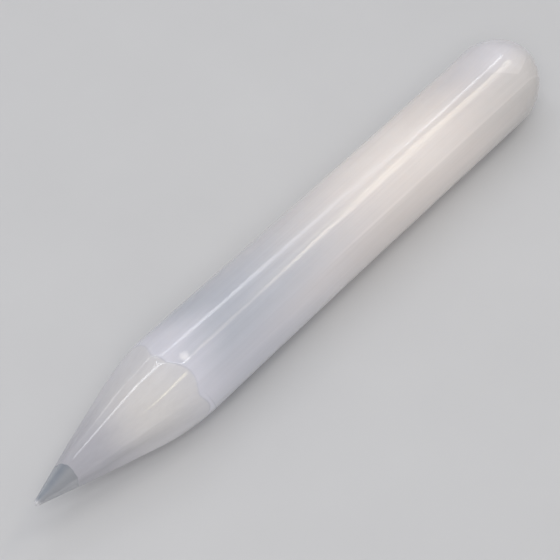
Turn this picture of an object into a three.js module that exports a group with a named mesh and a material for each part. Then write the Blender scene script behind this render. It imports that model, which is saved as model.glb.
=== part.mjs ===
// A selenite wand: one bar of fibrous satin spar, ground round, with a point worked by hand at one end
// and a polished dome at the other. Lengths are in millimetres and angles in degrees.
// The wand lies along X with its point towards -X. It rests on the plane z = 0.
// The origin is on that plane, under the middle of the wand's length.

import * as THREE from 'three';
import { mergeVertices } from 'three/addons/utils/BufferGeometryUtils.js';

// The shaft, which is slightly slimmer at the waist than at its ends
const LENGTH = 160;
const END_RADIUS = 10.24;
const WAIST_RADIUS = 10.05;
const WAIST_DISTANCE = 95;
const REST_FLAT_DEPTH = 0.24;

// The dome, a little fuller than a cone and more pointed than a ball, whose top leans to one side
const DOME_LENGTH = 11.3;
const DOME_POWER = 1.8;
const LEAN = 1;
const LEAN_LENGTH = 19;
const LEAN_ANGLE = -22;

// The point, a cone whose last millimetres are ground a little steeper, with a blunted tip
const SHOULDER = 36;
const SHOULDER_ROUNDING = 1.9;
const CONE_START_RADIUS = 0.81;
const CONE_SLOPE = 0.271;
const TIP_SLOPE = 0.296;
const TIP_RADIUS = 0.6;

// The facets of the point: the angles of the ridges between them, counted from the top of the wand
// towards -Y, and the depth and reach of a facet as wide as FULL_FACET
const RIDGES = [-70, -9, 8, 62, 126, 181, 236];
const FULL_FACET = 60;
const FACET_DEPTH = 0.75;
const FACET_REACH = 2.1;
const SHOULDER_TILT = 1.6;
const SHOULDER_TILT_ANGLE = 90;

// The number of flat sides round the wand, and of rings along each stretch of it
const SIDES = 72;
const TIP_RINGS = 3;
const CONE_RINGS = 11;
const SHOULDER_RINGS = 8;
const SHAFT_RINGS = 10;
const DOME_RINGS = 10;

const AXIS_HEIGHT = END_RADIUS - REST_FLAT_DEPTH;
const DOME_START = LENGTH - DOME_LENGTH;
const SHOULDER_FROM = 0.8 * SHOULDER;
const SHOULDER_TO = 1.2 * SHOULDER;

// The tip's ball meets the steep end of the cone at this distance, on a line that starts at this radius
const BALL_END = TIP_RADIUS * (1 - Math.sin(Math.atan(TIP_SLOPE)));
const TIP_START_RADIUS = TIP_RADIUS * (Math.hypot(1, TIP_SLOPE) - TIP_SLOPE);

function radians(angle) {
  return THREE.MathUtils.degToRad(angle);
}

// The smaller of two radii, rounded over where they are within the given distance of each other
function roundedMin(a, b, rounding) {
  const overlap = Math.max(rounding - Math.abs(a - b), 0) / rounding;
  return Math.min(a, b) - (overlap * overlap * rounding) / 4;
}

function shaftRadius(distance) {
  const fromWaist = (distance - WAIST_DISTANCE) / (DOME_START - WAIST_DISTANCE);
  return WAIST_RADIUS + (END_RADIUS - WAIST_RADIUS) * Math.min(fromWaist * fromWaist, 1);
}

function pointRadius(distance) {
  const ball = Math.sqrt(Math.max(2 * TIP_RADIUS * distance - distance * distance, 0));
  const tip = distance < BALL_END ? ball : TIP_START_RADIUS + TIP_SLOPE * distance;
  return Math.min(tip, CONE_START_RADIUS + CONE_SLOPE * distance);
}

function domeRadius(distance) {
  const along = Math.min((distance - DOME_START) / DOME_LENGTH, 1);
  return END_RADIUS * (1 - along ** DOME_POWER) ** (1 / DOME_POWER);
}

// The outline's radius at a distance from the tip, before the facets are ground
function outlineRadius(distance) {
  if (distance > DOME_START) return domeRadius(distance);
  return roundedMin(pointRadius(distance), shaftRadius(distance), SHOULDER_ROUNDING);
}

// A facet's size at an angle round the wand: 0 on the ridges beside it, most in its middle,
// and more for a wide facet than for a narrow one
function facetSize(angle) {
  const turned = THREE.MathUtils.euclideanModulo(angle - RIDGES[0], 360) + RIDGES[0];
  const next = RIDGES.findIndex((ridge) => ridge > turned);
  const end = next > 0 ? RIDGES[next] : RIDGES[0] + 360;
  const start = next > 0 ? RIDGES[next - 1] : RIDGES[RIDGES.length - 1];
  const width = (end - start) / FULL_FACET;
  return width * width * Math.sin((Math.PI * (turned - start)) / (end - start));
}

// The distance from the tip at which the facets run out into the shaft, a scalloped line
function edgeDistance(angle) {
  const tilt = SHOULDER_TILT * Math.cos(radians(angle - SHOULDER_TILT_ANGLE));
  return SHOULDER + tilt + FACET_REACH * facetSize(angle);
}

// How far a facet is ground below the outline: nothing at the tip and at the scalloped line,
// and most at two thirds of the way between them
function groundDepth(distance, angle) {
  const along = Math.min(distance / edgeDistance(angle), 1);
  const deepest = 0.2 ** 0.25 * 0.8;
  return (FACET_DEPTH * facetSize(angle) * along * (1 - along ** 4)) / deepest;
}

// The rings are shifted along the wand, most at the shoulder, so that one follows the scalloped line
function shiftedDistance(distance, angle) {
  const beyond = (DOME_START - distance) / (DOME_START - SHOULDER);
  const share = Math.max(Math.min(distance / SHOULDER, beyond), 0);
  return distance + (edgeDistance(angle) - SHOULDER) * share;
}

function evenSteps(from, to, count) {
  return Array.from({ length: count }, (_, step) => from + ((to - from) * step) / count);
}

// The distances of the rings from the tip, closest together where the outline bends most
function ringDistances() {
  const domeSteps = evenSteps(0, 90, DOME_RINGS);
  return [
    ...evenSteps(0, 1, TIP_RINGS).map((step) => BALL_END * step * step),
    ...evenSteps(BALL_END, SHOULDER_FROM, CONE_RINGS),
    ...evenSteps(SHOULDER_FROM, SHOULDER_TO, SHOULDER_RINGS),
    ...evenSteps(SHOULDER_TO, DOME_START, SHAFT_RINGS),
    ...domeSteps.map((angle) => DOME_START + DOME_LENGTH * Math.sin(radians(angle))),
    LENGTH,
  ];
}

// How far the middle of the wand leans off its axis, which it does only near the dome's end
function leanOffset(distance) {
  const along = Math.max((distance - LENGTH) / LEAN_LENGTH + 1, 0);
  return LEAN * along * along;
}

// The outline is turned round the Y axis, and each of its points is then ground to its real radius,
// leant with the dome, laid along X and kept from going below the flat that the wand rests on
function buildWand() {
  const outline = ringDistances().map((d) => new THREE.Vector2(outlineRadius(d), d));
  const turned = new THREE.LatheGeometry(outline, SIDES);
  turned.deleteAttribute('normal');
  turned.deleteAttribute('uv');
  const geometry = mergeVertices(turned);

  const places = geometry.attributes.position;
  for (let i = 0; i < places.count; i += 1) {
    const turn = Math.atan2(places.getX(i), places.getZ(i));
    const angle = THREE.MathUtils.radToDeg(turn);
    const distance = shiftedDistance(places.getY(i), angle);
    const radius = outlineRadius(distance) - groundDepth(distance, angle);
    const lean = leanOffset(distance);
    const side = radius * Math.sin(turn) + lean * Math.sin(radians(LEAN_ANGLE));
    const height = AXIS_HEIGHT + radius * Math.cos(turn) + lean * Math.cos(radians(LEAN_ANGLE));
    places.setXYZ(i, distance - LENGTH / 2, -side, Math.max(height, 0));
  }
  geometry.computeVertexNormals();
  return geometry;
}

const selenite = new THREE.MeshStandardMaterial({ color: 0xd2cfd4, roughness: 0.22, metalness: 0 });
const wand = new THREE.Mesh(buildWand(), selenite);
wand.name = 'wand';

const model = new THREE.Group();
model.add(wand);

export default model;
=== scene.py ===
import math

import bpy
import numpy as np
from mathutils import Matrix, Vector


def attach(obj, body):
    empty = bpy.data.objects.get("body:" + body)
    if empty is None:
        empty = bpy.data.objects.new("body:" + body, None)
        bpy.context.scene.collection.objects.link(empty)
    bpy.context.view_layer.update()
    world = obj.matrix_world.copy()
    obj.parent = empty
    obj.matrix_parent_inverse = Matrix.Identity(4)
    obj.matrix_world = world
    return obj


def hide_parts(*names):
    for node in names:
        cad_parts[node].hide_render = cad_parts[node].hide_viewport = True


# A wand ground from one bar of fibrous selenite, lying on a pale floor. It lies along X with its point
# towards -X. Shapes are worked out in millimetres and built in metres. An angle round the wand is
# counted in degrees from its top towards -Y, and a distance is counted along it from the tip.

MM = 0.001

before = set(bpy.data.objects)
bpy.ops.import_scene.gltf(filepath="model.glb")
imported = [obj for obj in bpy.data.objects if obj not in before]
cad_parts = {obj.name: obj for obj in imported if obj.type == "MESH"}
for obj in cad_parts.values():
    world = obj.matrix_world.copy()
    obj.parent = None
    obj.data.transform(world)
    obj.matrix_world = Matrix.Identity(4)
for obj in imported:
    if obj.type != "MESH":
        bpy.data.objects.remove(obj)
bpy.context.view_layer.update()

# The shaft, the dome and the point, with the values of the solid
LENGTH = 160.0
END_RADIUS = 10.24
WAIST_RADIUS = 10.05
WAIST_DISTANCE = 95.0
REST_FLAT_DEPTH = 0.24
AXIS_HEIGHT = END_RADIUS - REST_FLAT_DEPTH

DOME_LENGTH = 11.3
DOME_POWER = 1.8
DOME_START = LENGTH - DOME_LENGTH
LEAN = 1.0
LEAN_LENGTH = 19.0
LEAN_ANGLE = -22.0

SHOULDER = 36.0
SHOULDER_ROUNDING = 1.9
CONE_START_RADIUS = 0.81
CONE_SLOPE = 0.271
TIP_SLOPE = 0.296
TIP_RADIUS = 0.6
BALL_END = TIP_RADIUS * (1 - math.sin(math.atan(TIP_SLOPE)))
TIP_START_RADIUS = TIP_RADIUS * (math.hypot(1, TIP_SLOPE) - TIP_SLOPE)

# The facets of the point: the angles of the ridges between them, the depth and reach of a facet as wide
# as FULL_FACET, the tilt of the scalloped line where they end, and the most that a facet's curve rises to
RIDGES = np.array([-70.0, -9.0, 8.0, 62.0, 126.0, 181.0, 236.0])
FULL_FACET = 60.0
FACET_DEPTH = 0.75
FACET_REACH = 2.1
SHOULDER_TILT = 1.6
SHOULDER_TILT_ANGLE = 90.0
DEEPEST = 0.2**0.25 * 0.8

# How round the ridges and the scalloped line are ground, as shares of a facet's size, and how far out the
# rounding of that line reaches, as a share of the line's own distance
RIDGE_ROUNDING = 0.18
EDGE_ROUNDING = 0.03
EDGE_FADE = 1.3

# The top of the point is ground from the tip straight to the scalloped line, where it meets the shaft
# in a crisp corner: the angles between which it is so, the corner's rounding and the slope of the ridges
TOP_FROM = (-64.0, -26.0)
TOP_TO = (66.0, 104.0)
TOP_ROUNDING = 0.2
TOP_SLOPE = 0.262

# The two ridges on top bend a few degrees to one side below the shoulder: how far each of the first four
# ridges in the list does so, and the distance where it begins
BENDS = ((0.0, 38.0), (-6.5, 35.0), (-8.6, 38.0), (0.0, 38.0))
BEND_LENGTH = 11.0

# The narrow bevel between the lowest visible facet and the shaft: its ends, its reach into the facet,
# its outer line with the distance where it starts and its rise for each degree, its slope, the distances
# between which it begins, and the softness of its two sides
BEVEL_FROM = 62.0
BEVEL_TO = 126.0
BEVEL_INNER = 0.8
BEVEL_START = 38.6
BEVEL_RISE = 0.0625
BEVEL_SLOPE = 0.04
BEVEL_BEGINS = (15.0, 30.0)
BEVEL_SOFTNESS = 0.3

# A fine groove follows the scalloped line, a little beyond it
GROOVE_DEPTH = 0.015
GROOVE_WIDTH = 0.16
GROOVE_OFFSET = 0.1

# The dark line of painted shade in the groove: its width, how much its strength changes round the wand, how
# many times it does so and with which phase, and the strength of the weaker line of painted shade beyond the
# bevel
LINE_WIDTH = 1.3 * GROOVE_WIDTH
LINE_CHANGE = 0.25
LINE_CHANGES = 5
LINE_PHASE = 20.0
OUTER_LINE = 0.8

# The width of the change from the colour of the point to that of the shaft
POINT_SIDE_WIDTH = 0.5

# The polish is not quite even: shallow waves that run along the fibres, with the ranges of their turns
# round the wand and of their lengths, and with their sway. They die out over the calm stretches at the tip
# and at the dome.
WAVES = 14
WAVE_SEED = 11
WAVE_DEPTH = 0.001
WAVE_TURNS = (3, 15)
WAVE_LENGTHS = (30.0, 90.0)
WAVE_TWIST = 0.6
CALM_TIP = 12.0
CALM_DOME = 8.0

# The clear end of the point: where it ends, how far from there the mesh is fitted to that line, and how the
# line wanders, as an offset and the turns, the height and the phase of the waves in it
CLEAR_END = 9.0
CLEAR_REACH = 4.0
CLEAR_OFFSET = 0.22
CLEAR_WAVES = ((1, 0.40, -0.96), (2, 0.37, 1.19), (7, 0.04, 0.0), (13, 0.03, 1.0), (23, 0.02, 2.0))

# The mesh. Each stretch of its columns has the angle where it starts and its number of columns, and they
# are closest together near the ridges on top. Its rings are close together at both ends of the wand and
# near the scalloped line.
COLUMNS = ((-14.0, 104), (12.0, 40), (56.0, 24), (68.0, 232))
EDGE_NEAR = 0.94 * SHOULDER
EDGE_FAR = 1.08 * SHOULDER
TIP_RINGS = 5
CLEAR_RINGS = 18
CONE_RINGS = 48
EDGE_RINGS = 46
SHAFT_RINGS = 62
DOME_RINGS = 46


def ramp(value, start, end):
    """0 at the start and 1 at the end, which may be the lower of the two, and steady beyond them."""
    return np.clip((value - start) / (end - start), 0, 1)


def smooth(share):
    return share**2 * (3 - 2 * share)


def bell(off, width):
    """1 on a line and 0 well away from it, for a place that is so far off the line."""
    return np.exp(-((off / width) ** 2))


def from_top(angle):
    """The same angle, counted from -180 to 180."""
    return (angle + 180) % 360 - 180


def rounded_min(a, b, rounding):
    """The smaller of two radii, rounded over where they are within the rounding of each other."""
    overlap = np.maximum(rounding - np.abs(a - b), 0) / rounding
    return np.minimum(a, b) - overlap**2 * rounding / 4


def shaft_radius(distance):
    from_waist = (distance - WAIST_DISTANCE) / (DOME_START - WAIST_DISTANCE)
    return WAIST_RADIUS + (END_RADIUS - WAIST_RADIUS) * np.minimum(from_waist**2, 1)


def tip_radius(distance):
    ball = np.sqrt(np.maximum(2 * TIP_RADIUS * distance - distance**2, 0))
    return np.where(distance < BALL_END, ball, TIP_START_RADIUS + TIP_SLOPE * distance)


def point_radius(distance):
    return np.minimum(tip_radius(distance), CONE_START_RADIUS + CONE_SLOPE * distance)


def dome_radius(distance):
    along = np.clip((distance - DOME_START) / DOME_LENGTH, 0, 1)
    return END_RADIUS * (1 - along**DOME_POWER) ** (1 / DOME_POWER)


def outline_radius(distance):
    ground = rounded_min(point_radius(distance), shaft_radius(distance), SHOULDER_ROUNDING)
    return np.where(distance > DOME_START, dome_radius(distance), ground)


def ridge_angle(ridge, distance):
    bend, begins = BENDS[ridge]
    return RIDGES[ridge] + bend * smooth(ramp(distance, begins, begins - BEND_LENGTH))


def bent(distance, angle):
    """The angle at which the pattern of facets is read, so that two ridges bend between their neighbours."""
    turned = from_top(angle)
    read = angle
    for facet in range(len(BENDS) - 1):
        start, end = ridge_angle(facet, distance), ridge_angle(facet + 1, distance)
        across = (turned - start) / (end - start)
        straight = RIDGES[facet] + across * (RIDGES[facet + 1] - RIDGES[facet])
        read = np.where((across >= 0) & (across < 1), straight, read)
    return read


def facet_size(angle):
    """A facet's size at an angle: 0 on the ridges beside it, and most in its middle."""
    turned = (angle - RIDGES[0]) % 360 + RIDGES[0]
    facet = np.searchsorted(RIDGES, turned, side="right") - 1
    start = RIDGES[facet]
    width = np.append(RIDGES[1:], RIDGES[0] + 360)[facet] - start
    across = np.hypot(np.sin(np.pi * (turned - start) / width), RIDGE_ROUNDING) - RIDGE_ROUNDING
    return (width / FULL_FACET) ** 2 * across / (math.hypot(1, RIDGE_ROUNDING) - RIDGE_ROUNDING)


def bevel_share(angle):
    """1 in the middle of the bevel and 0 outside its ends."""
    return np.sin(np.pi * ramp(from_top(angle), BEVEL_FROM, BEVEL_TO))


def solid_edge(angle):
    """The distance of the solid's scalloped line, where its facets run out into the shaft."""
    tilt = SHOULDER_TILT * np.cos(np.radians(angle - SHOULDER_TILT_ANGLE))
    return SHOULDER + tilt + FACET_REACH * facet_size(angle)


def edge_distance(angle):
    """The distance of the scalloped line, which is nearer to the tip than the solid's beside the bevel."""
    return solid_edge(angle) - BEVEL_INNER * bevel_share(angle)


def facet_depth(distance, angle):
    """How far the facets on the sides and underneath are ground below the outline."""
    along = distance / edge_distance(angle)
    left = 1 - np.minimum(along, EDGE_FADE) ** 4
    left = (left + np.hypot(left, EDGE_ROUNDING)) / 2
    size = facet_size(bent(distance, angle))
    return FACET_DEPTH * size * np.minimum(along, 1) * left * ramp(along, EDGE_FADE, 1) / DEEPEST


def bevel_end(angle):
    """The distance of the bevel's outer line."""
    return BEVEL_START + BEVEL_RISE * np.clip(from_top(angle) - BEVEL_FROM, 0, BEVEL_TO - BEVEL_FROM)


def bevel_depth(distance, angle):
    slope = BEVEL_SLOPE * ramp(distance, *BEVEL_BEGINS) * bevel_share(angle)
    return slope * np.clip(bevel_end(angle) - distance, 0, None)


def off_groove(distance, angle):
    return distance - edge_distance(angle) - GROOVE_OFFSET


def groove_depth(distance, angle):
    return GROOVE_DEPTH * bell(off_groove(distance, angle), GROOVE_WIDTH)


def top_radius(distance, angle):
    """The radius where straight lines run from the tip to the scalloped line."""
    scaled = distance * SHOULDER / edge_distance(bent(distance, angle))
    ridge = shaft_radius(SHOULDER) - TOP_SLOPE * (SHOULDER - scaled)
    return rounded_min(np.minimum(tip_radius(scaled), ridge), shaft_radius(distance), TOP_ROUNDING)


def top_share(angle):
    """1 on the top of the point and 0 on its sides and underneath."""
    turned = from_top(angle)
    return smooth(np.minimum(ramp(turned, *TOP_FROM), ramp(turned, *reversed(TOP_TO))))


def wand_radius(distance, angle):
    sides = outline_radius(distance) - facet_depth(distance, angle)
    share = np.where(distance < DOME_START, top_share(angle), 0)
    radius = sides + (top_radius(distance, angle) - sides) * share
    return radius - bevel_depth(distance, angle) - groove_depth(distance, angle)


def edge_shade_line(distance, angle):
    """How much of the fine dark line of painted shade there is at a place: 1 in the middle of it."""
    change = LINE_CHANGE * np.sin(np.radians(LINE_CHANGES * angle + LINE_PHASE))
    inner = (1 - LINE_CHANGE + change) * bell(off_groove(distance, angle), LINE_WIDTH)
    outer = OUTER_LINE * bevel_share(angle) * bell(distance - bevel_end(angle), GROOVE_WIDTH)
    return inner + outer


def bevel_painted_light(distance, angle):
    """Where light is painted on the bevel: 1 between the two lines that bound it and 0 outside them."""
    inner, outer = edge_distance(angle), bevel_end(angle)
    after_inner = ramp(distance, inner, inner + BEVEL_SOFTNESS)
    before_outer = ramp(distance, outer, outer - BEVEL_SOFTNESS)
    return after_inner * before_outer * bevel_share(angle)


def point_side(distance, angle):
    """1 on the point, 0 on the shaft, and half on the scalloped line between them."""
    return np.clip(0.5 - (distance - edge_distance(angle)) / POINT_SIDE_WIDTH, 0, 1)


def shifted_distance(distance, angle):
    """The rings are shifted along the wand, most at the shoulder, so that one follows the scalloped line."""
    beyond = (DOME_START - distance) / (DOME_START - SHOULDER)
    share = np.clip(np.minimum(distance / SHOULDER, beyond), 0, None)
    return distance + (edge_distance(angle) - SHOULDER) * share


def clear_boundary(angle):
    """The distance of the clear tip's boundary, which steps in and out with the ends of the fibres."""
    turn = np.radians(angle)
    wander = sum(height * np.sin(turns * turn + phase) for turns, height, phase in CLEAR_WAVES)
    return CLEAR_END + CLEAR_OFFSET + wander


def fitted_to_boundary(distance, angle, rings):
    """Moves one ring onto the boundary of the clear tip, and the rings near it with it."""
    line = shifted_distance(np.full_like(distance, CLEAR_END), angle)
    nearness = np.clip(1 - np.abs(rings - CLEAR_END)[:, None] / CLEAR_REACH, 0, 1)
    return distance + (clear_boundary(angle) - line) * nearness


def polish_waves(distance, angle):
    """Shallow waves in the polished surface, which are longer along the wand than across it."""
    draw = np.random.default_rng(WAVE_SEED)
    height = np.zeros_like(distance)
    for _ in range(WAVES):
        turns = draw.integers(*WAVE_TURNS)
        length = draw.uniform(*WAVE_LENGTHS)
        phase = draw.uniform(0, 2 * math.pi, 2)
        along = np.sin(2 * math.pi * distance / length + phase[0])
        height += np.cos(turns * np.radians(angle) + phase[1] + WAVE_TWIST * along) * along / turns
    return WAVE_DEPTH * height


def ring_distances():
    dome = (1 - np.cos(np.linspace(0, math.pi, DOME_RINGS))) / 2
    return np.concatenate([
        BALL_END * np.linspace(0, 1, TIP_RINGS, endpoint=False) ** 2,
        np.linspace(BALL_END, CLEAR_END, CLEAR_RINGS, endpoint=False),
        np.linspace(CLEAR_END, EDGE_NEAR, CONE_RINGS, endpoint=False),
        np.linspace(EDGE_NEAR, EDGE_FAR, EDGE_RINGS, endpoint=False),
        np.linspace(EDGE_FAR, DOME_START, SHAFT_RINGS, endpoint=False),
        DOME_START + DOME_LENGTH * dome,
    ])


def column_angles():
    ends = [start for start, _ in COLUMNS[1:]] + [COLUMNS[0][0] + 360]
    stretches = zip(COLUMNS, ends)
    return np.concatenate([
        np.linspace(start, end, count, endpoint=False) for (start, count), end in stretches
    ])


def laid_out(distance, radius, turn):
    """Points in millimetres, leant with the dome and kept from going below the flat underneath."""
    lean = LEAN * np.clip((distance - LENGTH) / LEAN_LENGTH + 1, 0, None) ** 2
    leant = math.radians(LEAN_ANGLE)
    side = radius * np.sin(turn) + lean * math.sin(leant)
    height = AXIS_HEIGHT + radius * np.cos(turn) + lean * math.cos(leant)
    return np.stack([distance - LENGTH / 2, -side, np.maximum(height, 0)], axis=-1)


def wand_faces(rows, columns):
    """The faces between the rows, and then the two fans that close the tip and the top of the dome."""
    index = np.arange(rows * columns).reshape(rows, columns)
    after = np.roll(index, -1, axis=1)
    faces = np.stack([index[:-1], index[1:], after[1:], after[:-1]], axis=-1).reshape(-1, 4).tolist()
    tip, top = rows * columns, rows * columns + 1
    faces += [(tip, a, b) for a, b in zip(index[0].tolist(), after[0].tolist())]
    faces += [(top, b, a) for a, b in zip(index[-1].tolist(), after[-1].tolist())]
    return faces


def keep_for_finish(mesh, distance, angle):
    """Keeps what the finish needs to know at each point of the surface, with 0 at both ends of the wand."""
    measures = {"point_side": point_side, "edge_shade_line": edge_shade_line, "bevel_painted_light": bevel_painted_light}
    for name, measure in measures.items():
        values = np.append(measure(distance, angle).ravel(), [0, 0])
        layer = mesh.attributes.new(name, "FLOAT", "POINT")
        layer.data.foreach_set("value", values.astype(np.float32))


def build_wand():
    rings = ring_distances()
    rows = rings[1:-1]
    angles = column_angles()
    columns = len(angles)
    distance, angle = np.meshgrid(rows, angles, indexing="ij")
    distance = fitted_to_boundary(shifted_distance(distance, angle), angle, rows)
    radius = wand_radius(distance, angle)
    calm = np.clip(np.minimum(distance / CALM_TIP, (LENGTH - distance) / CALM_DOME), 0, 1)
    radius -= calm * (WAVE_DEPTH + polish_waves(distance, angle))

    body = laid_out(distance, radius, np.radians(angle)).reshape(-1, 3)
    ends = laid_out(np.array([0.0, LENGTH]), np.zeros(2), np.zeros(2))
    points = np.concatenate([body, ends])
    faces = wand_faces(len(rows), columns)

    mesh = bpy.data.meshes.new("selenite_wand")
    mesh.from_pydata((points * MM).tolist(), [], faces)
    mesh.validate()
    mesh.shade_smooth()
    keep_for_finish(mesh, distance, angle)

    # The second material is the clear one, on the rows from the tip to its boundary and on the tip's fan
    clear_rows = int(np.searchsorted(rows, CLEAR_END))
    tip_fan = (len(rows) - 1) * columns
    materials = np.zeros(len(faces), dtype=np.int32)
    materials[: clear_rows * columns] = 1
    materials[tip_fan : tip_fan + columns] = 1
    mesh.polygons.foreach_set("material_index", materials)

    wand = bpy.data.objects.new("selenite_wand", mesh)
    bpy.context.scene.collection.objects.link(wand)
    return wand


class Nodes:
    """Short ways to make and join the nodes of one material."""

    def __init__(self, name):
        self.material = bpy.data.materials.new(name)
        self.material.use_nodes = True
        self.tree = self.material.node_tree
        self.shader = self.tree.nodes["Principled BSDF"]

    def add(self, kind, inputs=(), **settings):
        node = self.tree.nodes.new(kind)
        for key, value in settings.items():
            setattr(node, key, value)
        for key, value in dict(inputs).items():
            self.feed(node.inputs[key], value)
        return node

    def feed(self, socket, value):
        if isinstance(value, bpy.types.NodeSocket):
            self.tree.links.new(value, socket)
        else:
            socket.default_value = value

    def math(self, operation, *values):
        node = self.add("ShaderNodeMath", operation=operation)
        for socket, value in zip(node.inputs, values):
            self.feed(socket, value)
        return node.outputs[0]

    def vector(self, operation, a, b):
        node = self.add("ShaderNodeVectorMath", operation=operation)
        self.feed(node.inputs[0], a)
        self.feed(node.inputs[1], b)
        return node.outputs["Value" if operation == "DOT_PRODUCT" else "Vector"]

    def noise(self, place, scale, detail=2.0, roughness=0.5):
        """Noise from 0 to 1 with a scale for each axis, in cycles per millimetre."""
        stretched = self.vector("MULTIPLY", place, scale)
        inputs = {"Vector": stretched, "Scale": 1.0, "Detail": detail, "Roughness": roughness}
        return self.add("ShaderNodeTexNoise", inputs).outputs["Fac"]

    def rise(self, value, low, high):
        """From 0 at low to 1 at high, with a smooth rise, or a fall where high is the lower one."""
        if low > high:
            return self.math("SUBTRACT", 1.0, self.rise(value, high, low))
        inputs = {"Value": value, "From Min": low, "From Max": high}
        return self.add("ShaderNodeMapRange", inputs, interpolation_type="SMOOTHSTEP").outputs[0]

    def blend(self, share, under, over):
        node = self.add("ShaderNodeMix", data_type="RGBA")
        self.feed(node.inputs["Factor"], share)
        for socket, value in ((node.inputs[6], under), (node.inputs[7], over)):
            self.feed(socket, (*value, 1.0) if isinstance(value, tuple) else value)
        return node.outputs[2]

    def shade(self, colour, factor):
        """A colour times a number."""
        node = self.add("ShaderNodeVectorMath", operation="SCALE")
        self.feed(node.inputs[0], colour)
        self.feed(node.inputs["Scale"], factor)
        return node.outputs["Vector"]

    def centred(self, noise, amount):
        """Noise from 0 to 1 as a change of up to half the amount either way."""
        return self.math("MULTIPLY_ADD", noise, amount, -amount / 2)

    def plus(self, total, share, amount):
        """A total with a share of an amount added to it."""
        return self.math("ADD", total, self.math("MULTIPLY", share, amount))

    def finish(self, colour, roughness, height, subsurface, transmission):
        """Gives the shader its colour, its roughness, a relief in millimetres and its plain values."""
        relief = {"Height": height, "Distance": MM, "Strength": 1.0}
        values = {
            "Base Color": colour,
            "Roughness": roughness,
            "Normal": self.add("ShaderNodeBump", relief).outputs["Normal"],
            "IOR": STONE_IOR,
            "Subsurface Weight": subsurface,
            "Subsurface Radius": SCATTER_RADIUS,
            "Subsurface Scale": SCATTER_SCALE,
            "Transmission Weight": transmission,
        }
        for name, value in values.items():
            self.feed(self.shader.inputs[name], value)
        return self.material


# Colours of the stone, linear
MILK = (0.71, 0.705, 0.76)
# Cream, partly the stone's own colour and partly a painted sheen over the upper shaft
CREAM_AND_SHEEN = (0.87, 0.81, 0.775)
# Lavender, partly the stone's own tint and partly painted shade on the shaft past the shoulder
LAVENDER_AND_SHADE = (0.55, 0.565, 0.615)
DOME_WARM = (0.71, 0.68, 0.66)
DOME_COOL = (0.72, 0.70, 0.725)
CONE_GREY = (0.47, 0.465, 0.50)
CONE_MILK = (0.69, 0.68, 0.70)
# The colour of a warm painted sheen on the point
CONE_WARM_SHEEN = (0.77, 0.74, 0.70)
# Dark blue-greys of the clear tip, partly its own tint and partly painted shade for dark surroundings seen
# through it
CLEAR = (0.29, 0.315, 0.36)
CLEAR_PALE = (0.33, 0.355, 0.395)
CLEAR_MILKY = (0.375, 0.385, 0.41)
# The white of a painted highlight at the very tip
TIP_GLINT = (0.64, 0.64, 0.66)
WHITE = (0.93, 0.92, 0.94)

# How the stone bends and scatters light
STONE_IOR = 1.52
SCATTER_RADIUS = (1.0, 0.95, 0.9)
SCATTER_SCALE = 2.5 * MM
MILKY_SCATTER = 0.85
CLEAR_SCATTER = 0.5
CLEAR_TRANSMISSION = 0.15

# The noises, in cycles per millimetre along X, Y and Z. All but the fleck's are stretched along the fibres.
WANDER_SCALE = (0.02, 0.14, 0.14)
CLOUD_SCALE = (0.05, 0.10, 0.10)
STREAK_SCALE = (0.012, 0.5, 0.5)
FIBRE_SCALE = (0.03, 2.4, 2.4)
FLECK_SCALE = (0.9, 0.9, 0.9)
CLEAR_FIBRE_SCALE = (0.06, 2.0, 2.0)
CLEAR_CLOUD_SCALE = (0.2, 0.6, 0.6)

# Where one colour gives way to the next along the wand, as distances from the tip, and how far such a
# border wanders. The lavender, which is partly painted shade, is weaker on the side at -Y, by the given
# share, and the dome cooler at +Y.
CONE_RISE = (6.0, 37.0)
LAVENDER_SHADE_RISE = (38.0, 52.0)
# The cream towards the dome is partly a painted sheen
CREAM_SHEEN_RISE = (50.0, 110.0)
DOME_RISE = (122.0, 150.0)
BORDER_WANDER = 24.0
WEAK_LAVENDER_SHADE = (-6.0, -10.0)
WEAK_SHARE = 0.6
COOL_DOME = (-7.0, 1.0)

# Spots on the surface, as the distance from the tip, the angle and the radius there. Each has the
# distances from its middle between which it fades in, and its share or its change of tone. The fleck's
# rim is ragged, by up to half the given distance either way.
# A warm painted sheen on the top of the point
WARM_SHEEN_SPOT = (28.0, 40.0, 8.0)
WARM_SHEEN_REACH = (14.0, 1.0)
WARM_SHEEN_SHARE = 0.55
# Painted shade on the side at +Y near the dome
SHADE_SPOT = (129.0, -25.0, 10.1)
SHADE_REACH = (17.0, 4.0)
SHADE_TONE = -0.06
FLECK = (39.9, 18.5, 10.2)
FLECK_REACH = (1.45, 0.3)
FLECK_RAGGEDNESS = 1.2
FLECK_SHARE = 0.8

# How much the grain of the stone changes its tone, and by how much the painted shade of the dark line and
# the painted light on the bevel do
CLOUD_TONE = 0.10
STREAK_TONE = 0.08
FIBRE_TONE = 0.10
LINE_SHADE_TONE = -0.13
BEVEL_LIGHT_TONE = 0.05

# The seam: a place on it and the way it faces, the distances from the tip between which it begins, and then
# the places across it, in millimetres, and the tones of its step, of the painted shade beyond it and of the
# painted glint along it
SEAM_PLACE = (110.0, 54.0, 10.1)
SEAM_FACING = (0.0, -0.985, -0.17)
SEAM_BEGINS = (74.0, 92.0)
SEAM_STEP = (-0.05, 0.15)
SEAM_STEP_TONE = -0.04
SEAM_SHADE = (0.0, 3.0)
SEAM_SHADE_TONE = -0.045
SEAM_GLINT_IN = (-0.6, -0.2)
SEAM_GLINT_OUT = (0.05, -0.12)
SEAM_GLINT_TONE = 0.05

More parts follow.
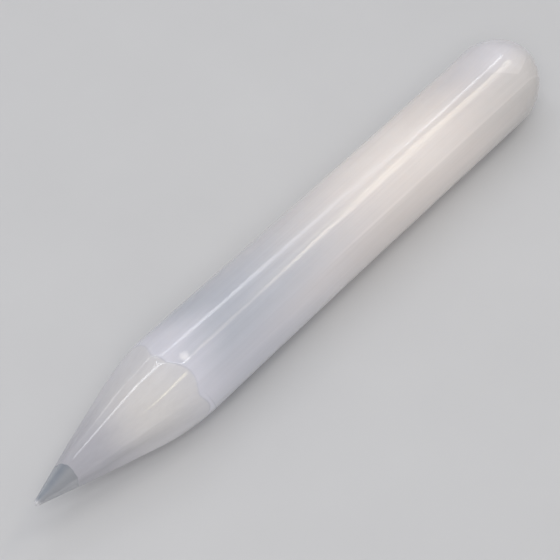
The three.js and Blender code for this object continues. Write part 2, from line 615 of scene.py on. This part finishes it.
# The patch on the dome: its corner, the ways that its two straight sides face with the softness of each,
# the distances from the corner between which it fades in, and its tone
PATCH_CORNER = (148.0, 37.4, 10.2)
PATCH_RIGHT = (-0.247, 0.781, 0.573)
PATCH_RIGHT_EDGE = (-0.1, 0.15)
PATCH_BOTTOM = (0.645, 0.64, 0.418)
PATCH_BOTTOM_EDGE = (-0.15, 0.25)
PATCH_REACH = (9.5, 5.0)
PATCH_TONE = 0.08

# The roughness of the polish, by itself and what the fibres and the dark line add to it, and the height
# of the fibres and streaks in millimetres
POLISH = 0.03
FIBRE_ROUGHNESS = 0.07
LINE_ROUGHNESS = 0.1
FIBRE_HEIGHT = 0.0004
STREAK_HEIGHT = 0.0005
CLEAR_POLISH = 0.12
CLEAR_FIBRE_ROUGHNESS = 0.16
CLEAR_FIBRE_HEIGHT = 0.001

# The clear tip: its clouds, its radius at the tip with the radius gained for each millimetre, the places
# across it between which it turns milky, as shares of its radius, with their shift and the distances
# between which that sets in, and the distances between which the very tip gets a painted highlight
CLEAR_CLOUDS = (0.3, 0.7)
CLEAR_RADIUS = 0.5
CLEAR_WIDENING = 0.28
CLEAR_MILKY_SIDE = (-0.05, -0.7)
CLEAR_SHIFT = -0.25
CLEAR_SHIFT_RISE = (3.0, 9.0)
TIP_GLINT_REACH = (1.3, 0.2)


def surface_place(distance, angle, radius):
    turn = math.radians(angle)
    return (distance - LENGTH / 2, -radius * math.sin(turn), AXIS_HEIGHT + radius * math.cos(turn))


def beyond_plane(n, place, through, facing):
    """How far a place is beyond a plane, in the direction that the plane faces."""
    direction = Vector(facing).normalized()
    reach = n.vector("DOT_PRODUCT", place, tuple(direction))
    return n.math("SUBTRACT", reach, direction.dot(Vector(through)))


def apart(n, place, spot):
    return n.add("ShaderNodeVectorMath", {0: place, 1: spot}, operation="DISTANCE").outputs["Value"]


def near_spot(n, place, spot, reach):
    return n.rise(apart(n, place, surface_place(*spot)), *reach)


def stone_place(n):
    """The place on the wand in millimetres, the distance from the tip and Y."""
    place = n.vector("MULTIPLY", n.add("ShaderNodeTexCoord").outputs["Object"], (1 / MM,) * 3)
    split = n.add("ShaderNodeSeparateXYZ", {0: place})
    return place, n.math("ADD", split.outputs["X"], LENGTH / 2), split.outputs["Y"]


def kept_value(n, name):
    """A value that keep_for_finish has left on the mesh."""
    return n.add("ShaderNodeAttribute", attribute_name=name).outputs["Fac"]


def shaft_colour(n, zone, y):
    # The lavender stretch is partly painted shade, weaker on the side at -Y
    strength = n.math("MULTIPLY_ADD", n.rise(y, *WEAK_LAVENDER_SHADE), -WEAK_SHARE, 1.0)
    colour = n.blend(n.math("MULTIPLY", n.rise(zone, *LAVENDER_SHADE_RISE), strength), MILK, LAVENDER_AND_SHADE)
    # The cream towards the dome is partly a painted sheen
    colour = n.blend(n.rise(zone, *CREAM_SHEEN_RISE), colour, CREAM_AND_SHEEN)
    dome = n.blend(n.rise(y, *COOL_DOME), DOME_WARM, DOME_COOL)
    return n.blend(n.rise(zone, *DOME_RISE), colour, dome)


def cone_colour(n, zone, place):
    cone = n.blend(n.rise(zone, *CONE_RISE), CONE_GREY, CONE_MILK)
    # A warm painted sheen on the point
    warm_sheen = near_spot(n, place, WARM_SHEEN_SPOT, WARM_SHEEN_REACH)
    return n.blend(n.math("MULTIPLY", warm_sheen, WARM_SHEEN_SHARE), cone, CONE_WARM_SHEEN)


def grain_and_shade_tone(n, place, streak, fibre):
    """Clouds, streaks and fine fibres, round a tone of 1, and painted shade on a place near the dome at +Y.
    """
    cloud = n.noise(place, CLOUD_SCALE, 3.0, 0.6)
    tone = n.math("MULTIPLY_ADD", cloud, CLOUD_TONE, 1 - CLOUD_TONE / 2)
    tone = n.math("ADD", tone, n.centred(streak, STREAK_TONE))
    tone = n.math("ADD", tone, n.centred(fibre, FIBRE_TONE))
    return n.plus(tone, near_spot(n, place, SHADE_SPOT, SHADE_REACH), SHADE_TONE)


def seam_tone_glint_and_shade(n, place):
    """A boundary between two bundles of fibres, along the wand: a step in tone, a painted glint along it,
    and painted shade beyond it.
    """
    side = beyond_plane(n, place, surface_place(*SEAM_PLACE), SEAM_FACING)
    seam = n.math("MULTIPLY", n.rise(side, *SEAM_STEP), SEAM_STEP_TONE)
    seam = n.plus(seam, n.rise(side, *SEAM_SHADE), SEAM_SHADE_TONE)
    glint = n.math("MULTIPLY", n.rise(side, *SEAM_GLINT_IN), n.rise(side, *SEAM_GLINT_OUT))
    return n.plus(seam, glint, SEAM_GLINT_TONE)


def dome_patch(n, place):
    """1 on a paler patch on the dome, which ends in two straight lines."""
    corner = surface_place(*PATCH_CORNER)
    right = n.rise(beyond_plane(n, place, corner, PATCH_RIGHT), *PATCH_RIGHT_EDGE)
    bottom = n.rise(beyond_plane(n, place, corner, PATCH_BOTTOM), *PATCH_BOTTOM_EDGE)
    patch = n.math("MULTIPLY", right, near_spot(n, place, PATCH_CORNER, PATCH_REACH))
    return n.math("MULTIPLY", patch, bottom)


def fleck_share(n, place):
    """How white the fleck near the shoulder is, with a ragged rim."""
    ragged = n.centred(n.noise(place, FLECK_SCALE), FLECK_RAGGEDNESS)
    reach = n.math("ADD", apart(n, place, surface_place(*FLECK)), ragged)
    return n.math("MULTIPLY", n.rise(reach, *FLECK_REACH), FLECK_SHARE)


def selenite_material():
    n = Nodes("selenite")
    place, distance, y = stone_place(n)
    line = kept_value(n, "edge_shade_line")
    streak = n.noise(place, STREAK_SCALE, 2.0)
    fibre = n.noise(place, FIBRE_SCALE, 3.0, 0.6)

    # The borders between the colours follow the fibres unevenly
    wander = n.noise(place, WANDER_SCALE, 3.0)
    zone = n.math("ADD", distance, n.centred(wander, BORDER_WANDER))
    on_point = kept_value(n, "point_side")
    colour = n.blend(on_point, shaft_colour(n, zone, y), cone_colour(n, zone, place))

    tone = grain_and_shade_tone(n, place, streak, fibre)
    # The seam, with a painted glint along it and painted shade beyond it
    tone = n.math("ADD", tone, n.math("MULTIPLY", seam_tone_glint_and_shade(n, place), n.rise(distance, *SEAM_BEGINS)))
    tone = n.plus(tone, dome_patch(n, place), PATCH_TONE)
    # Painted shade along the dark line by the scalloped line
    tone = n.plus(tone, line, LINE_SHADE_TONE)
    # Painted light on the bevel
    tone = n.plus(tone, kept_value(n, "bevel_painted_light"), BEVEL_LIGHT_TONE)
    colour = n.blend(fleck_share(n, place), n.shade(colour, tone), WHITE)

    roughness = n.plus(n.math("MULTIPLY_ADD", fibre, FIBRE_ROUGHNESS, POLISH), line, LINE_ROUGHNESS)
    height = n.plus(n.math("MULTIPLY", fibre, FIBRE_HEIGHT), streak, STREAK_HEIGHT)
    return n.finish(colour, roughness, height, MILKY_SCATTER, 0.0)


def clear_material():
    n = Nodes("selenite_clear")
    place, distance, y = stone_place(n)
    fibre = n.noise(place, CLEAR_FIBRE_SCALE, 3.0, 0.6)
    cloud = n.noise(place, CLEAR_CLOUD_SCALE, 2.0)
    # Dark blue-grey, partly the clear stone's own tint and partly painted shade for dark surroundings seen
    # through it
    colour = n.blend(n.rise(cloud, *CLEAR_CLOUDS), CLEAR, CLEAR_PALE)

    # Milkier towards the side at -Y, and a painted highlight at the very tip
    radius = n.math("MULTIPLY_ADD", distance, CLEAR_WIDENING, CLEAR_RADIUS)
    across = n.math("DIVIDE", y, radius)
    reach = n.math("MULTIPLY_ADD", n.rise(distance, *CLEAR_SHIFT_RISE), CLEAR_SHIFT, across)
    colour = n.blend(n.rise(reach, *CLEAR_MILKY_SIDE), colour, CLEAR_MILKY)
    colour = n.blend(n.rise(distance, *TIP_GLINT_REACH), colour, TIP_GLINT)

    roughness = n.math("MULTIPLY_ADD", fibre, CLEAR_FIBRE_ROUGHNESS, CLEAR_POLISH)
    height = n.math("MULTIPLY", fibre, CLEAR_FIBRE_HEIGHT)
    return n.finish(colour, roughness, height, CLEAR_SCATTER, CLEAR_TRANSMISSION)


wand = build_wand()
wand.data.materials.append(selenite_material())
wand.data.materials.append(clear_material())
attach(wand, "root")
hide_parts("wand")


# The floor, whose mottling lies between two colours. The mottling is in cycles across the whole floor.
FLOOR_SIZE = 6.0
FLOOR_MOTTLING = 220.0
FLOOR_DARK = (0.62, 0.62, 0.625)
FLOOR_LIGHT = (0.66, 0.66, 0.665)
FLOOR_ROUGHNESS = 0.9
FLOOR_SHINE = 0.2


def build_floor():
    bpy.ops.mesh.primitive_plane_add(size=FLOOR_SIZE, location=(0, 0, 0))
    floor = bpy.context.object
    floor.name = "floor"
    n = Nodes("floor")
    mottling = n.add("ShaderNodeTexNoise", {"Scale": FLOOR_MOTTLING, "Detail": 3.0}).outputs["Fac"]
    n.feed(n.shader.inputs["Base Color"], n.blend(mottling, FLOOR_DARK, FLOOR_LIGHT))
    n.feed(n.shader.inputs["Roughness"], FLOOR_ROUGHNESS)
    n.feed(n.shader.inputs["Specular IOR Level"], FLOOR_SHINE)
    floor.data.materials.append(n.material)
    return floor


floor = build_floor()


def strip_light(name, start, end, width, radiance, colour):
    """A rectangular lamp from start to end, in millimetres, turned to face the wand."""
    start, end = Vector(start) * MM, Vector(end) * MM
    middle = (start + end) / 2
    along = (end - start).normalized()
    away = middle - Vector((0, 0, AXIS_HEIGHT * MM))
    away = (away - along * away.dot(along)).normalized()
    lamp = bpy.data.lights.new(name, "AREA")
    lamp.shape = "RECTANGLE"
    lamp.size = (end - start).length
    lamp.size_y = width * MM
    lamp.energy = radiance * math.pi * lamp.size * lamp.size_y
    lamp.color = colour
    holder = bpy.data.objects.new(name, lamp)
    turn = Matrix((along, away.cross(along), away)).transposed()
    holder.matrix_world = Matrix.Translation(middle) @ turn.to_4x4()
    bpy.context.scene.collection.objects.link(holder)


# The colours of the lamps
COOL = (0.94, 0.96, 1.0)
WARM = (1.0, 0.92, 0.74)
AMBER = (1.0, 0.90, 0.62)
NEUTRAL = (1.0, 0.985, 0.97)

# The distance of the glow behind a strip, as a multiple of the strip's own
GLOW_DISTANCE = 1.01


def graded_strip(name, colour, glow_colour, stops):
    """A row of short lamps through the stops, and a wider, dimmer glow behind it.

    Each stop is a place, the lamp's width and radiance there, and the glow's width and radiance.
    """
    columns = np.array(stops, dtype=float).T
    spans = len(stops) - 1

    def between(step):
        return [np.interp(step, np.arange(len(stops)), column) for column in columns]

    def lamp(label, step, length, hue, is_glow):
        away = GLOW_DISTANCE if is_glow else 1.0
        start, end = (np.array(between(place)[:3]) * away for place in (step, step + length))
        lamp_width, lamp_radiance, glow_width, glow_radiance = between(step + length / 2)[3:]
        width, radiance = (glow_width, glow_radiance) if is_glow else (lamp_width, lamp_radiance)
        if radiance > 0:
            strip_light(label, start, end, width, radiance, hue)

    for part in range(2 * spans):
        lamp(f"{name}_{part}", part / 2, 0.5, colour, False)
    for part in range(spans):
        lamp(f"{name}_glow_{part}", part, 1.0, glow_colour, True)


# The cool strip, whose image runs along the top of the wand
STRIP_A = (
    (262, 322, 563, 65, 2.0, 200, 0.30),
    (290, 296, 566, 65, 2.9, 200, 0.35),
    (305, 282, 568, 70, 3.9, 200, 0.40),
    (325, 265, 569, 80, 2.5, 200, 0.40),
    (350, 240, 572, 80, 2.5, 200, 0.40),
    (372, 217, 574, 80, 0.9, 210, 0.50),
    (403, 182, 577, 80, 0.7, 210, 0.50),
    (425, 170, 574, 80, 0.8, 200, 0.45),
    (445, 155, 571, 65, 2.0, 180, 0.40),
    (456, 144, 569, 65, 4.8, 180, 0.40),
    (468, 133, 568, 70, 3.2, 180, 0.40),
    (478, 128, 567, 80, 0.8, 180, 0.30),
    (490, 122, 566, 80, 0.3, 180, 0.15),
)
graded_strip("strip_a", COOL, COOL, STRIP_A)

# The warm strip beside it, which widens towards the dome
STRIP_B = (
    (262, -212, 613, 40, 2.2, 100, 0.0),
    (285, -198, 611, 55, 1.7, 150, 0.10),
    (300, -192, 608, 70, 1.5, 200, 0.20),
    (330, -166, 606, 72, 1.4, 200, 0.20),
    (344, -162, 602, 75, 3.4, 200, 0.25),
    (362, -158, 598, 80, 3.6, 200, 0.30),
    (382, -148, 595, 85, 3.2, 210, 0.30),
    (400, -134, 592, 100, 2.2, 260, 0.40),
    (420, -124, 588, 130, 1.4, 310, 0.50),
    (450, -98, 582, 150, 1.6, 320, 0.50),
    (470, -74, 580, 150, 2.7, 320, 0.50),
    (490, -52, 577, 150, 2.7, 320, 0.50),
)
graded_strip("strip_b", WARM, AMBER, STRIP_B)

# The lamps whose images lie on the point, on its two ridges, on the corner at the shoulder and on a facet,
# and last the key lamp. Each has its start, its end, its width, its radiance and its colour.
LAMPS = {
    "corner_a": ((80, 365, 598), (259, 326, 562), 60, 2.5, COOL),
    "corner_a_far": ((-8, 520, 482), (78, 367, 597), 60, 1.8, COOL),
    "ridge_a": ((-63, 520, 490), (-10, 524, 484), 170, 2.0, NEUTRAL),
    "ridge_a_far": ((-76, 520, 490), (-63, 520, 490), 150, 1.0, NEUTRAL),
    "corner_b": ((60, -60, 682), (260, -212, 613), 60, 4.0, COOL),
    "corner_b_near": ((-58, 110, 702), (58, -58, 683), 80, 4.2, COOL),
    "ridge_b": ((-104, 180, 691), (-60, 180, 692), 190, 4.2, COOL),
    "ridge_b_far": ((-142, 180, 688), (-104, 180, 691), 190, 3.9, COOL),
    "facet_c": ((-76, -476, 536), (-44, -498, 515), 30, 4.3, AMBER),
    "facet_c_far": ((-92, -476, 534), (-76, -476, 536), 34, 2.2, AMBER),
    "key": ((-1100, -410, 1150), (-470, -665, 1150), 700, 5.2, NEUTRAL),
}
for lamp_name, lamp_values in LAMPS.items():
    strip_light(lamp_name, *lamp_values)

# The even light from all round
EVEN_COLOUR = (0.95, 0.96, 1.0, 1.0)
EVEN_STRENGTH = 0.445
world = bpy.data.worlds.new("even_light")
world.use_nodes = True
background = world.node_tree.nodes["Background"]
background.inputs["Color"].default_value = EVEN_COLOUR
background.inputs["Strength"].default_value = EVEN_STRENGTH
bpy.context.scene.world = world
bpy.context.scene.view_settings.view_transform = "Standard"

# The camera
CAMERA_PLACE = (-215.955, -175.854, 335.918)
CAMERA_FORWARD = (0.49173, 0.41397, -0.76604)
CAMERA_LENS = 130.72
CAMERA_SENSOR = 36.0
CAMERA_CLIP = (0.01, 50.0)
camera_data = bpy.data.cameras.new("camera")
camera_data.lens = CAMERA_LENS
camera_data.sensor_width = CAMERA_SENSOR
camera_data.clip_start, camera_data.clip_end = CAMERA_CLIP
camera = bpy.data.objects.new("camera", camera_data)
camera.location = Vector(CAMERA_PLACE) * MM
camera.rotation_euler = Vector(CAMERA_FORWARD).to_track_quat("-Z", "Y").to_euler()
bpy.context.scene.collection.objects.link(camera)
bpy.context.scene.camera = camera
